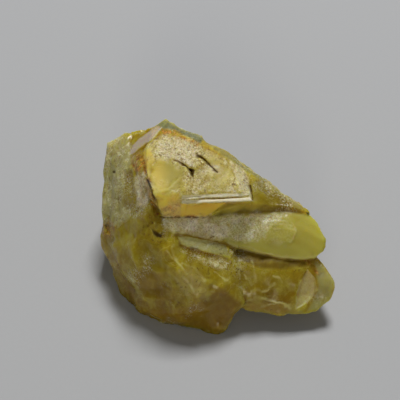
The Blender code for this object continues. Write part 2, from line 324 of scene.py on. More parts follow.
# The front and the foot
FRONT_PALE = [(178, 270), (190, 268), (200, 276), (206, 287), (203, 298), (190, 296), (180, 285)]
FRONT_BROWN = [(139, 272), (150, 268), (163, 272), (168, 284), (160, 296), (146, 296), (138, 286)]
FOOT = [
    (118, 290), (135, 306), (150, 311), (175, 313), (200, 303), (222, 290), (243, 304), (236, 314),
    (223, 335), (200, 335), (165, 328), (135, 314),
]

# The arm
ARM = [(240, 256), (262, 262), (306, 263), (318, 278), (312, 304), (262, 314), (246, 304), (236, 280)]
# The band under the blade, painted in shade
ARM_TOP = [
    (232, 247), (246, 251.5), (264, 255.5), (285, 259.5), (305, 260.5), (306, 266), (284, 269),
    (264, 268), (246, 263), (234, 256),
]
ARM_END = [
    (315, 262), (322, 264), (335, 281), (330, 300), (317, 310), (308, 309), (316, 298), (319, 288),
    (317, 276),
]
ARM_BEVEL = [(244, 305), (262, 303), (285, 305), (297, 310), (305, 316), (262, 316), (244, 309)]
SPLINTER = [
    (307, 270), (315, 278), (317, 290), (312, 298), (303, 305), (296, 309), (297, 295), (300, 283),
]
SPLINTER_EDGE = [(301, 281), (297.5, 292), (296.5, 300), (297, 307.5), (303, 304), (310, 298.5)]

# Rusty seams with their widths, pale veins, and ovals of brown flecks as centre and radii
RUST_PATHS = [
    ([(163, 131.5), (172, 133), (184, 138.5), (197, 144)], 1.8),
    ([(158, 214), (170, 216), (190, 217), (206, 217)], 1.4),
    ([(306, 259), (313, 267), (319, 274)], 1.3), ([(144, 160), (146, 172), (149, 182)], 2.0),
]
VEINS = [
    [(252, 262), (255.5, 270), (254, 281)], [(250, 291), (262, 292), (268, 290), (273, 285)],
    [(274, 277), (279, 278.5), (282, 282)], [(246, 301), (256, 297.5), (270, 300), (288, 307)],
    [(236, 262), (240, 270), (239, 280)], [(246, 276), (252, 284)],
    [(198, 258), (210, 262), (222, 268)], [(182, 262), (196, 270), (204, 280)],
    [(128, 275), (133, 280), (138, 288)], [(172, 246), (178, 262), (186, 275)],
    [(262, 306), (278, 303), (292, 308)], [(215, 272), (228, 280)],
]
FLECKS = [
    ((238, 268), (10, 14)), ((134, 272), (9, 9)), ((160, 241), (9, 7)), ((108, 229), (7, 9)),
    ((190, 180), (14, 12)), ((150, 225), (8, 10)), ((216, 240), (9, 6)), ((205, 270), (12, 6)),
]

# Single ovals, as centre and radii, with their strength in CAP_ASH
HONEY_GLOW = ((157, 178), (9, 17))
CAP_ASH = [((214, 168), (7, 5), 0.5), ((232, 192), (7, 5), 0.4)]
CAP_GLOW = ((232, 190), (7, 5))
PIT_STAIN = ((190, 172), (7, 7))
CREST_HOLE = ((198.5, 156.5), (2.2, 1.8))
SLOPE_GOLD = ((240, 207), (24, 6))
SPINE_HOLLOW = ((157, 234), (9, 7))
LEFT_PINHOLE = ((114, 172), (1.4, 1.4))
LEFT_RUST = ((107, 229), (7, 8))
LEFT_RUST_HOLE = ((107, 226), (2.5, 2.0))
CORNER_RUST = ((139.5, 163), (8, 9))
CORNER_GLINTS = ((139.5, 163), (9, 10))
LEFT_GLINTS = ((134, 210), (12, 7))
FRONT_GLINTS = ((134, 276), (7, 7))
SLOPE_GLINTS = ((262, 178), (12, 8))
CREASE_GLINTS = ((238, 262), (10, 12))


def to_line(place, start, end):
    """Squared distance of each place from the line between two corners."""
    along = end - start
    share = np.clip(((place - start) @ along) / (along @ along), 0, 1)
    gap = place - start - share[:, None] * along
    return (gap * gap).sum(axis=1)


class Skin:
    """Points of the crystal's surface in millimetres, and where each falls in the picture."""

    def __init__(self, points, normals):
        self.points = points
        self.normals = normals
        away = points - CAMERA_PLACE
        depth = -away @ CAMERA_BACK
        self.across = IMAGE_SIDE / 2 + FOCAL_PIXELS * away[:, 0] / depth
        self.down = IMAGE_SIDE / 2 - FOCAL_PIXELS * (away @ CAMERA_UP) / depth
        facing = -(normals * away).sum(axis=1) / np.linalg.norm(away, axis=1)
        cells = np.floor(self.across / SIGHT_CELL).astype(int) * IMAGE_SIDE
        cells += np.floor(self.down / SIGHT_CELL).astype(int)
        nearest = np.full(IMAGE_SIDE * IMAGE_SIDE, np.inf)
        np.minimum.at(nearest, cells, depth)
        covered = step_up(COVERED_FROM, COVERED_TO, depth - nearest[cells])
        self.front = step_up(0.0, FACING_FULL, facing) * (1 - covered)
        self.drift = [layered_noise(points, *kind) for kind in DRIFTS]
        self.ragged = layered_noise(points, *RAGGED)

    def place(self, wander):
        """Places in the picture, each moved by up to about wander pixels of noise."""
        across = self.across + wander * self.drift[0]
        down = self.down + wander * self.drift[1]
        return np.stack((across, down), axis=1)

    def inside(self, outline, blur=1.0, wander=1.0):
        """1 inside an outline in the picture, fading to 0 over blur pixels on both sides of it."""
        place = self.place(wander)
        corners = np.array(outline, float)
        within = np.zeros(len(place), bool)
        distance = np.full(len(place), np.inf)
        for start, end in zip(corners, np.roll(corners, -1, axis=0)):
            distance = np.minimum(distance, to_line(place, start, end))
            if start[1] == end[1]:
                continue
            spans = (start[1] > place[:, 1]) != (end[1] > place[:, 1])
            slope = (place[:, 1] - start[1]) * (end[0] - start[0]) / (end[1] - start[1])
            within ^= spans & (place[:, 0] < start[0] + slope)
        distance = np.sqrt(distance)
        return step_up(-blur, blur, np.where(within, distance, -distance)) * self.front

    def along(self, path, width, blur=0.5, wander=0.8):
        """1 on a path in the picture, 0 beyond its ragged width in pixels. Blur is a share of that."""
        place = self.place(wander)
        corners = np.array(path, float)
        distance = np.full(len(place), np.inf)
        for start, end in zip(corners, corners[1:]):
            distance = np.minimum(distance, to_line(place, start, end))
        distance = np.sqrt(distance) / (width * (1 + 0.6 * self.ragged).clip(0.15))
        return (1 - step_up(1 - blur, 1 + blur, distance)) * self.front

    def spot(self, centre, radii, blur=0.5, wander=1.5):
        """1 in the middle of an oval in the picture, 0 beyond its rim. Blur is a share of its radii."""
        away = (self.place(wander) - np.array(centre)) / np.array(radii)
        return (1 - step_up(1 - blur, 1 + blur, np.linalg.norm(away, axis=1))) * self.front

    def off_lines(self, lines):
        """How far each point is below the nearest of some near-level lines in the picture."""
        offsets = np.array([
            self.down - start[1] - (self.across - start[0]) * (end[1] - start[1]) / (end[0] - start[0])
            for start, end in lines
        ])
        nearest = np.abs(offsets).argmin(axis=0)
        return offsets[nearest, np.arange(len(nearest))]


def most(*shares):
    """The largest share at each point."""
    return np.maximum.reduce(shares)


# Finishes: how much of each there is at each point, from 0 to 1. Each is the strongest of its marks.
# A mark is a strength times an outline, a path or an oval, or times noise where the side is hidden.

class Areas:
    """Areas that go into several finishes."""

    def __init__(self, skin):
        points = skin.points
        self.hidden = 1 - skin.front
        self.patches = step_up(-0.15, 0.45, layered_noise(points, *PATCHES))
        self.fine = step_up(-0.3, 0.3, layered_noise(points, *FINE_PATCHES))
        # Painted shade: 1 low down, where the body is painted darker and browner towards the floor
        waves = LOW_WAVE_HEIGHT * layered_noise(points, *LOW_WAVES)
        self.low = 1 - step_up(*LOW_SPAN, points[:, 2] + waves)
        self.above_foot = step_up(*BLADE_FOOT, points[:, 2])
        self.cap = skin.inside(CAP, 0.7, 0.8)
        self.lens = skin.inside(LENS, 2.6, 3.0)
        self.riser = skin.inside(RISER, 0.8, 0.6)
        self.margin = self.cap * most(
            skin.inside(CAP_MARGIN, 2.5, 2.0), 0.8 * skin.spot(*HONEY_GLOW, 0.7, 2.0)
        )
        self.steps = most(*[skin.inside(outline, 0.35, 0.15) for outline in GROWTH_STEPS])
        self.triangle = skin.inside(TRIANGLE, 0.5, 0.3)
        self.plain = skin.inside(MIRROR, 0.8, 0.5)
        self.blade = skin.inside(BLADE, 0.8, 0.3) * self.above_foot
        self.blade_frost = skin.inside(BLADE_FROST, 4.0, 3.0)
        self.plate = skin.inside(PLATE, 0.8, 0.4)
        self.slope = skin.inside(OLIVE_FACE, 1.2, 1.0)
        self.step_facet = skin.inside(STEP_FACET, 0.8, 0.4)
        self.splinter = skin.inside(SPLINTER, 0.7, 0.5)
        smooth_green = skin.inside(SMOOTH_GREEN, 2.0, 2.0)
        self.grainy_cap = (
            self.cap * (1 - self.lens) * (1 - self.riser) * (1 - self.margin) * (1 - 0.75 * smooth_green)
        )
        self.spine = skin.inside(SPINE, 2.0, 2.0)
        self.spine_ash = most(
            skin.inside(SPINE_PALE, 2.2, 2.5),
            0.85 * skin.inside(SPINE_GRAIN, 1.5, 2.0),
            0.45 * self.spine,
        )
        self.left_grain = skin.inside(LEFT_GRAIN, 3.0, 3.0)
        self.left_streak = skin.inside(LEFT_STREAK, 2.2, 2.0)
        self.glitter = skin.inside(GLITTER, 3.0, 3.0)
        self.tan = skin.inside(TAN_CORNER, 2.0, 2.0)
        self.body = 1 - most(self.cap, self.blade, self.plain, self.steps)


def dark_share(skin, area):
    """Cracks and pits."""
    return most(
        0.9 * skin.along(CAP_CRACK, 0.9, 0.6, 0.9) * (0.4 + 0.6 * area.fine),
        0.7 * skin.along(CAP_FOOT_CRACK, 0.6, 0.6, 0.9) * area.fine,
        0.9 * skin.along(CAP_RIGHT_CRACK, 0.7, 0.5, 0.4),
        skin.inside(PIT, 0.9, 1.4),
        0.6 * skin.along(PIT_TAIL, 0.7, 0.6, 0.9),
        0.9 * skin.along(CREST_CRACK, 1.0, 0.7, 1.6),
        0.7 * skin.spot(*CREST_HOLE, 0.5, 1.5),
        0.85 * skin.inside(SPINE_PIT, 0.8, 1.2),
        0.7 * skin.spot(*LEFT_PINHOLE, 0.4, 0.3),
        0.5 * skin.spot(*LEFT_RUST_HOLE, 0.5, 1.0),
    )


def frost_share(skin, area):
    """Dry, whitish broken faces."""
    blotches = step_up(-0.1, 0.5, layered_noise(skin.points, *FROST_BLOTCHES))
    return most(
        0.6 * area.triangle,
        0.85 * skin.inside(PALE_GRAIN, 2.5, 2.5),
        area.grainy_cap * (0.35 + 0.6 * blotches),
        0.35 * area.margin * area.fine,
        area.blade_frost * (0.45 + 0.3 * area.fine),
        0.2 * area.plate,
        area.spine_ash,
        0.4 * area.spine,
        0.25 * area.step_facet,
        0.75 * area.left_streak,
        0.5 * area.left_grain * (0.3 + 0.7 * area.fine),
        0.65 * area.glitter * area.fine,
        0.15 * skin.inside(FRONT_PALE, 4.0, 3.0) * area.fine,
        0.25 * area.splinter,
        0.5 * area.hidden * area.patches * area.fine,
    )


def ash_share(skin, area):
    """The whitest grain."""
    return most(
        area.spine_ash,
        0.8 * skin.inside(LEFT_STREAK, 2.2, 2.5) * (0.4 + 0.6 * area.fine),
        0.40 * skin.inside(PALE_GRAIN, 2.5, 2.5),
        0.40 * area.triangle,
        0.55 * area.blade_frost * (0.4 + 0.6 * area.fine),
        *[strength * skin.spot(centre, radii, 0.6, 3.0) for centre, radii, strength in CAP_ASH],
        0.5 * area.hidden * step_up(0.5, 1.0, layered_noise(skin.points, *HIDDEN_ASH)),
    )


def rust_share(skin, area):
    """Orange-brown seams and stains."""
    return most(
        *[skin.along(path, width, 0.7, 1.4) for path, width in RUST_PATHS],
        skin.spot(*CORNER_RUST, 0.4, 2.5),
        0.8 * skin.spot(*LEFT_RUST, 0.4, 2.0),
        0.5 * skin.inside(ORANGE_BAND, 1.5, 1.0),
        0.6 * area.tan * area.fine,
        0.6 * area.hidden * step_up(0.35, 0.9, layered_noise(skin.points, *HIDDEN_RUST)),
    )


def brown_and_shade_share(skin, area):
    """Painted brown: partly the body's own deeper tone and stained cracks, partly painted shade low
    down, under the blade and in grooves.
    """
    cracks = [skin.along(path, 2.4, 0.8, 1.5) for path in (CREST_CRACK, PIT_TAIL, CAP_CRACK)]
    return most(
        0.9 * skin.inside(FOOT, 3.0, 2.5),
        0.8 * skin.inside(FRONT_BROWN, 5.0, 3.0),
        0.2 * area.slope,
        0.45 * skin.inside(ARM_BEVEL, 2.0, 1.0),
        0.6 * area.hidden * area.low,
        0.8 * most(*[skin.along(path, 1.3, 0.7, 0.8) for path in STEP_SHADE_LINES]),
        0.8 * skin.along(STEP_GROOVE, 0.7, 0.4, 0.15),
        0.95 * skin.inside(ARM_TOP, 2.5, 0.8) * (1 - area.blade),
        0.45 * skin.along(CAP_TOP, 4.0, 0.8, 1.5),
        0.4 * skin.inside(BROWN_GRAIN, 3.0, 3.0),
        0.55 * most(*cracks),
        0.5 * skin.spot(*PIT_STAIN, 0.6, 2.0),
        0.8 * skin.along(BLADE_TOP_SHADE, 0.7, 0.6, 0.6) * area.fine,
    )


def gold_and_glow_share(skin, area):
    """Honey-coloured places: their own honey tone, painted brighter on the step under the cap as a glow
    of light shining through.
    """
    return most(
        area.riser,
        0.65 * area.margin,
        0.35 * skin.inside(ARM_BEVEL, 2.0, 1.0),
        0.45 * skin.spot(*SLOPE_GOLD, 0.5, 1.5),
    )


def green_share(skin, area):
    """Greyer, greener faces, and hidden sides painted lighter and greener towards the top as if lit from
    above.
    """
    return most(
        0.9 * skin.inside(CREST, 1.5, 0.8),
        0.8 * area.left_grain,
        0.8 * skin.inside(STEP_FACET, 1.6, 1.0),
        0.8 * skin.inside(ARM_END, 1.5, 1.0),
        0.6 * skin.inside(FAR_BEVEL, 1.5, 0.8),
        0.3 * area.plate,
        0.4 * area.hidden * step_up(*HIDDEN_GREEN_SPAN, skin.points[:, 2]),
    )


def painted_shade_share(skin, area):
    """Painted shade: faces darkened where they lie away from the light, and the band under the blade."""
    return most(
        skin.inside(CREST, 1.5, 0.8),
        0.5 * skin.inside(FAR_BEVEL, 1.5, 0.8),
        0.25 * area.step_facet,
        0.45 * area.slope,
        0.6 * skin.inside(ARM_TOP, 2.0, 0.8) * (1 - area.blade),
        0.3 * skin.inside(ARM_END, 1.5, 1.0),
    )


def striae_share(skin, area):
    """Growth lines of the blade's plate."""
    return most(*[skin.along(path, 0.75, 0.8, 0.7) for path in STRIAE]) * (0.3 + 0.7 * area.fine)


def veins_share(skin, area):
    """Pale healed cracks, and the splinter's bright edge, a painted highlight."""
    veins = most(*[skin.along(path, 1.0, 0.9, 2.2) for path in VEINS]) * (0.4 + 0.6 * area.fine)
    return most(veins, 0.35 * area.splinter, 0.8 * skin.along(SPLINTER_EDGE, 1.0, 0.8, 0.6))


def pale_and_highlight_share(skin, area, striae):
    """Pale lines and edges: partly their own pale tone, partly painted highlights on rims and ridges."""
    return most(
        0.8 * striae,
        0.5 * skin.along(LEFT_RIM, 1.6, 0.8, 0.8),
        0.6 * skin.along(BLADE_RIM, 1.0, 0.8, 0.4) * area.above_foot,
        0.3 * skin.along(LENS_RIDGE, 1.0, 0.8, 1.5),
        0.25 * area.triangle,
        0.3 * skin.spot(*CAP_GLOW, 0.6, 3.0),
        0.45 * skin.inside(FRONT_PALE, 5.0, 3.0),
        0.45 * area.splinter,
    )


def matt_share(skin, area):
    """Faces without gloss."""
    return most(
        0.6 * area.cap * (1 - area.steps),
        0.9 * area.lens,
        skin.inside(ARM_TOP, 3.0, 0.8) * (1 - area.blade),
        skin.spot(*SPINE_HOLLOW),
        0.5 * area.slope,
        0.9 * skin.inside(CREST, 3.0, 0.8),
        skin.along(CAP_TOP, 6.0, 0.5, 0.8),
        0.35 * area.hidden,
    )


def glints_share(skin, area):
    """Painted glints: sparkling grains, painted as pale specks for light caught by tiny facets."""
    scattered = step_up(0.30, 0.75, layered_noise(skin.points, *GLINT_PATCHES))
    return most(
        0.8 * area.left_grain * area.fine,
        area.left_streak,
        0.45 * area.grainy_cap * area.fine,
        area.blade_frost,
        0.8 * area.spine_ash,
        area.glitter,
        skin.spot(*LEFT_GLINTS, 0.6, 3.0),
        0.8 * skin.spot(*FRONT_GLINTS, 0.6, 3.0),
        0.8 * skin.spot(*SLOPE_GLINTS, 0.7, 3.0),
        0.7 * skin.spot(*CREASE_GLINTS, 0.6, 3.0),
        0.5 * skin.spot(*CORNER_GLINTS, 0.4, 2.5),
        0.5 * area.hidden * area.patches * area.fine,
        area.body * (1 - 0.7 * area.low) * scattered,
    )


def flecks_share(skin, area):
    """Brown flecks."""
    scattered = step_up(0.25, 0.65, layered_noise(skin.points, *FLECK_PATCHES))
    return most(
        *[skin.spot(centre, radii, 0.6, 3.0) for centre, radii in FLECKS],
        0.8 * area.grainy_cap,
        skin.along(CAP_TOP, 5.0, 0.8, 1.5),
        0.5 * area.left_grain,
        0.5 * area.spine_ash,
        0.8 * area.body * scattered,
    )


def polish_share(area):
    """Faces with more gloss."""
    clean_blade = area.blade * (1 - area.blade_frost)
    return most(area.plain, 0.2 * area.lens, 0.3 * area.steps, 0.45 * clean_blade)


def masks(skin):
    """Every finish by name."""
    area = Areas(skin)
    dark = dark_share(skin, area)
    striae = striae_share(skin, area)
    return {
        "frost": frost_share(skin, area) * (1 - 0.8 * dark),
        "gold_and_glow": gold_and_glow_share(skin, area),
        "tan": area.tan,
        "lens": area.lens,
        "blade": area.blade,
        "green": green_share(skin, area),
        "brown_and_shade": brown_and_shade_share(skin, area),
        "pale_and_highlight": pale_and_highlight_share(skin, area, striae),
        "ash": ash_share(skin, area),
        "cap": area.cap,
        "plain": area.plain,
        "painted_shade": painted_shade_share(skin, area),
        "rust": rust_share(skin, area),
        "dark": dark,
        "low": area.low,
        "matt": matt_share(skin, area),
        "glints": glints_share(skin, area),
        "polish": polish_share(area),
        "veins": veins_share(skin, area),
        "striae": striae,
        "flecks": flecks_share(skin, area),
        "steps": area.steps,
    }


def facets(points, kind):
    """Relief of one kind of facets in millimetres."""
    height, size, seed = kind
    return height * facet_noise(points, size, seed)


def relief(skin, found):
    """Height in millimetres that each point moves out along its normal."""
    points = skin.points
    frost = found["frost"]
    smooth = most(
        found["polish"],
        0.9 * found["blade"] * (1 - frost),
        found["lens"],
        found["steps"],
        skin.inside(LEFT_SMOOTH, 2.0, 1.0),
        skin.inside(STEP_FACET, 0.8, 0.4),
        0.8 * found["gold_and_glow"],
        0.55 * skin.inside(ARM, 4.0, 2.0),
    )
    rough = 1 - 0.88 * smooth
    height = facets(points, COARSE_FACETS) * rough
    height += facets(points, MIDDLE_FACETS) * rough
    height += facets(points, SMALL_FACETS) * (0.55 + 0.45 * frost) * rough
    height += facets(points, GRAIN_FACETS) * (0.3 * rough + frost) * (1 - found["steps"])
    height += SWELL_HEIGHT * layered_noise(points, *SWELL) * smooth * (1 - found["lens"])
    height -= CRACK_DEPTH * found["dark"]
    height += VEIN_HEIGHT * found["veins"]
    below = skin.off_lines(STEP_LINES)
    height += STEP_HEIGHT * found["steps"] * step_up(-STEP_REACH, STEP_REACH, below)
    # Fine growth lines on the blade run along its length
    place = points @ BLADE_LINE_ACROSS
    lines = np.sin(place * BLADE_LINE_RATE + soft_noise(points, *BLADE_LINE_DRIFT))
    height += BLADE_LINE_HEIGHT * lines * found["blade"]
    height += STRIA_HEIGHT * found["striae"]
    height += BLADE_RIM_HEIGHT * skin.along(BLADE_RIM, 1.4, 0.6, 0.3)
    height += LENS_RIDGE_HEIGHT * skin.along(LENS_RIDGE, 1.6, 0.8, 1.5)
    return height


# Mesh

def mesh_points(mesh):
    """The mesh's points in millimetres."""
    points = np.empty(len(mesh.vertices) * 3)
    mesh.vertices.foreach_get("co", points)
    return points.reshape(-1, 3) / MM


def place_points(mesh, points):
    mesh.vertices.foreach_set("co", (points * MM).ravel())
    mesh.update()


def mesh_normals(mesh):
    normals = np.empty(len(mesh.vertices) * 3)
    mesh.vertex_normals.foreach_get("vector", normals)
    return normals.reshape(-1, 3)


def applied(item):
    """The item's mesh with its modifiers applied."""
    graph = bpy.context.evaluated_depsgraph_get()
    mesh = bpy.data.meshes.new_from_object(item.evaluated_get(graph))
    item.modifiers.clear()
    item.data = mesh
    return mesh


def smoothed(mesh, points, rounds, share):
    """Points moved towards the middle of their neighbours, round after round."""
    ends = np.empty(len(mesh.edges) * 2, np.int64)
    mesh.edges.foreach_get("vertices", ends)
    ends = ends.reshape(-1, 2)
    count = np.bincount(ends.ravel(), minlength=len(points))[:, None]
    for _ in range(rounds):
        total = np.zeros_like(points)
        for axis in range(3):
            total[:, axis] += np.bincount(ends[:, 0], points[ends[:, 1], axis], len(points))
            total[:, axis] += np.bincount(ends[:, 1], points[ends[:, 0], axis], len(points))
        points = points + share * (total / count - points)
    return points


def evened(mesh, points):
    """Points without the remesh's small steps."""
    return smoothed(mesh, points, *FIRST_SMOOTHING)


def rounded(mesh, points):
    """Points with the shell-shaped breaks and the hollow round the spine's pit made round."""
    skin = Skin(points, mesh_normals(mesh))
    shells = most(*[skin.inside(outline, SHELL_BLUR) for outline in (LENS, SHELL, PLATE_FADE)])
    points = smoothed(mesh, points, SHELL_ROUNDS, SHELL_SHARE * shells[:, None])
    rim = skin.inside(PIT_RIM, PIT_BLUR)
    return smoothed(mesh, points, PIT_ROUNDS, SHELL_SHARE * rim[:, None])


def raised(mesh, points):
    """Points moved out by the relief, and never under the floor."""
    skin = Skin(points, mesh_normals(mesh))
    height = relief(skin, masks(skin))
    points = points + skin.normals * height[:, None]
    points[:, 2] = np.maximum(points[:, 2], 0.0)
    return points


def store_masks(mesh):
    """Keeps the finishes in the mesh, where the material reads them."""
    points = mesh_points(mesh)
    normals = mesh_normals(mesh)
    skin = Skin(points, normals)
    found = masks(skin)
    # Painted light at edges and painted shade in hollows, from how far points stand out
    bulge = ((points - smoothed(mesh, points, *BULGE_SMOOTHING)) * normals).sum(axis=1)
    found["painted_edge_glow"] = (1 - 0.6 * found["low"]) * step_up(*EDGE_SPAN, bulge)
    found["painted_edge_glow"] *= 1 - skin.spot(*SPINE_HOLLOW, 0.4, 0.5)
    found["painted_hollow_shade"] = step_up(*HOLLOW_SPAN, -bulge)
    for name, values in found.items():
        layer = mesh.attributes.new(name, "FLOAT", "POINT")
        layer.data.foreach_set("value", values.astype(np.float32))


def crystal_surface(node):
    """A finely divided copy of the solid with its small relief and its finishes."""
    item = bpy.data.objects.new("crystal", node.data.copy())
    bpy.context.scene.collection.objects.link(item)
    remesh = item.modifiers.new("fine", "REMESH")
    remesh.mode = "VOXEL"
    remesh.voxel_size = PITCH * MM
    mesh = applied(item)
    points = mesh_points(mesh)
    for changed in (evened, rounded, raised):
        points = changed(mesh, points)
        place_points(mesh, points)
    triangles = sum(len(face.vertices) - 2 for face in mesh.polygons)
    thin = item.modifiers.new("thin", "DECIMATE")
    thin.ratio = min(1.0, MOST_TRIANGLES / triangles)
    mesh = applied(item)
    store_masks(mesh)
    mesh.shade_smooth()
    return item


# Material

# Where a mix node keeps its two colours and its result
MIX_COLOURS = (6, 7)
MIX_RESULT = 2


class Tree:
    """Short ways to add and join nodes."""

    def __init__(self, material):
        material.use_nodes = True
        self.nodes = material.node_tree.nodes
        self.links = material.node_tree.links
        self.shader = self.nodes["Principled BSDF"]

    def put(self, socket, value):
        if isinstance(value, bpy.types.NodeSocket):
            self.links.new(value, socket)
        else:
            socket.default_value = value

    def attribute(self, name):
        node = self.nodes.new("ShaderNodeAttribute")
        node.attribute_name = name
        return node.outputs["Fac"]

    def noise(self, size, detail=3.0, roughness=0.5, distortion=0.0):
        """Noise with features of about size millimetres."""
        place = self.nodes.new("ShaderNodeTexCoord").outputs["Object"]
        node = self.nodes.new("ShaderNodeTexNoise")
        self.links.new(place, node.inputs["Vector"])
        node.inputs["Scale"].default_value = 1 / (size * MM)
        node.inputs["Detail"].default_value = detail
        node.inputs["Roughness"].default_value = roughness
        node.inputs["Distortion"].default_value = distortion
        return node.outputs["Fac"]

    def math(self, operation, first, second=0.0):
        node = self.nodes.new("ShaderNodeMath")
        node.operation = operation
        self.put(node.inputs[0], first)
        self.put(node.inputs[1], second)
        return node.outputs[0]

    def times(self, *values):
        total = values[0]
        for value in values[1:]:
            total = self.math("MULTIPLY", total, value)
        return total

    def more(self, first, second):
        return self.math("MAXIMUM", first, second)

    def span(self, value, low, high, to_low=0.0, to_high=1.0):
        """value from low to high, stretched over another span and held inside it."""
        node = self.nodes.new("ShaderNodeMapRange")
        self.put(node.inputs["Value"], value)
        node.inputs["From Min"].default_value = low
        node.inputs["From Max"].default_value = high
        node.inputs["To Min"].default_value = to_low
        node.inputs["To Max"].default_value = to_high
        return node.outputs["Result"]

    def blend(self, share, first, second, kind="MIX"):
        node = self.nodes.new("ShaderNodeMix")
        node.data_type = "RGBA"
        node.blend_type = kind
        self.put(node.inputs["Factor"], share)
        for index, value in zip(MIX_COLOURS, (first, second)):
            if isinstance(value, tuple):
                value = (*value, 1.0)
            self.put(node.inputs[index], value)
        return node.outputs[MIX_RESULT]

    def bump(self, height, strength, distance):
        node = self.nodes.new("ShaderNodeBump")
        self.put(node.inputs["Strength"], strength)
        node.inputs["Distance"].default_value = distance * MM
        self.links.new(height, node.inputs["Height"])
        return node.outputs["Normal"]


# Colours of the body
OLIVE = (0.55, 0.43, 0.015)
DEEP_OLIVE = (0.40, 0.27, 0.005)
VEIL_GOLD = (0.85, 0.72, 0.18)
VEIL_GREEN = (0.66, 0.59, 0.09)
BROWN_TONE_AND_SHADE = (0.33, 0.19, 0.002)
GREY_GREEN = (0.60, 0.57, 0.22)
CAP_YELLOW = (0.62, 0.52, 0.10)
# Honey tone, painted bright as a glow of light shining through the step
HONEY = (0.97, 0.74, 0.10)
HONEY_SHADE = (0.92, 0.67, 0.09)
TAN = (0.86, 0.62, 0.20)
LENS_GREEN = (0.50, 0.42, 0.07)
BLADE_GREEN = (0.66, 0.60, 0.12)
# Painted reflection of the surroundings on the mirror-like facet
PAINTED_REFLECTION_GREY = (0.66, 0.54, 0.40)

# Colours of what lies on it
FROST_PALE = (0.96, 0.90, 0.60)
FROST_SHADE = (0.34, 0.25, 0.05)
ASH = (0.94, 0.85, 0.68)
PALE = (0.88, 0.80, 0.36)
VEIN_PALE = (0.92, 0.86, 0.34)
BODY_PALE = (0.80, 0.69, 0.08)
# Painted glints: light caught by tiny facets, painted into the colour
GLINT = (0.97, 0.94, 0.68)
# The growth steps' near-white: partly their own pale grain, partly a painted highlight
STEP_WHITE = (1.0, 0.95, 0.72)
STEP_SHADE = (0.94, 0.86, 0.56)
FLECK_BROWN = (0.20, 0.10, 0.012)
RUST_ORANGE = (0.92, 0.50, 0.08)
RUST_BROWN = (0.30, 0.09, 0.012)
CRACK_BROWN = (0.09, 0.045, 0.010)
# Painted shade, multiplied into faces that lie away from the light
PAINTED_SHADE_TINT = (0.38, 0.43, 0.47)

# Noises of the material: size in millimetres, detail, roughness, distortion
CLOUD = (6.5, 3.0, 0.5, 0.4)
VEIL = (2.6, 5.0, 0.62, 1.2)
WISP = (1.3, 5.0, 0.7, 2.5)
THREAD = (3.6, 4.0, 0.55, 0.8)
THREAD_PATCH = (4.5, 2.0)
HONEY_CLOUD = (1.4, 4.0, 0.6)
MOTTLE = (0.7, 4.0, 0.65)
SPECKLE = (0.26, 3.0, 0.7)
FLECK = (0.42, 4.0, 0.75)
GRAIN = (0.30, 4.0, 0.85)
SPARK = (0.28, 3.0, 0.7)
TOOTH = (0.20, 3.0, 0.75)
STEP_GRAIN = (0.5, 3.0, 0.7)
STAIN = (0.5, 4.0, 0.7)
RUST_PATCH = (0.8, 4.0, 0.65)
FINE_BUMP = (0.2, 3.0, 0.65)
FLOOR_TOOTH = (0.5, 3.0, 0.6)

# The garnet's surface, with pairs for bare and for dry, frosted faces, and its inside
GARNET_IOR = 1.74
GARNET_SPECULAR = 0.13
ROUGHNESS = (0.25, 0.65)
POLISHED = 0.5
CLARITY = (0.25, 0.04)
SCATTER_RADIUS = (1.0, 0.8, 0.25)
SCATTER_SCALE = 4.0
ABSORPTION_COLOUR = (0.86, 0.78, 0.10, 1.0)
ABSORPTION_DENSITY = 200.0
BUMP_STRENGTH = (0.25, 0.8)
BUMP_HEIGHT = 0.07


def body_colour(tree):
    """The translucent body: cloudy olive, painted darker and browner low down as shade, with pale veils
    and its coloured faces.
    """
    cloud = tree.span(tree.noise(*CLOUD), 0.38, 0.62)
    veil = tree.span(tree.noise(*VEIL), 0.46, 0.72)
    wisps = tree.span(tree.noise(*WISP), 0.52, 0.74)
    colour = tree.blend(cloud, DEEP_OLIVE, OLIVE)
    # Painted shade: darker and browner low down, towards the floor
    colour = tree.blend(tree.attribute("low"), colour, BROWN_TONE_AND_SHADE)
    colour = tree.blend(tree.times(veil, 0.7), colour, VEIL_GREEN)
    colour = tree.blend(tree.times(wisps, 0.50), colour, BODY_PALE)
    ridge = tree.math("ABSOLUTE", tree.math("SUBTRACT", tree.noise(*THREAD), 0.5))
    there = tree.span(tree.noise(*THREAD_PATCH), 0.46, 0.60)
    thread = tree.times(tree.span(ridge, 0.0, 0.014, 1.0, 0.0), there)
    colour = tree.blend(tree.times(thread, 0.5), colour, VEIL_GOLD)
    colour = tree.blend(tree.attribute("green"), colour, GREY_GREEN)
    colour = tree.blend(tree.attribute("blade"), colour, BLADE_GREEN)
    colour = tree.blend(tree.attribute("cap"), colour, CAP_YELLOW)
    colour = tree.blend(tree.attribute("lens"), colour, LENS_GREEN)
    # Honey tone with a painted glow
    honey = tree.blend(tree.span(tree.noise(*HONEY_CLOUD), 0.42, 0.64), HONEY_SHADE, HONEY)
    colour = tree.blend(tree.attribute("gold_and_glow"), colour, honey)
    colour = tree.blend(tree.times(tree.attribute("tan"), 0.7), colour, TAN)
    # Brown tone, and painted shade under the blade, in grooves and low down
    colour = tree.blend(tree.times(tree.attribute("brown_and_shade"), 0.88), colour, BROWN_TONE_AND_SHADE)
    # Painted reflection on the mirror-like facet
    return tree.blend(tree.attribute("plain"), colour, PAINTED_REFLECTION_GREY)


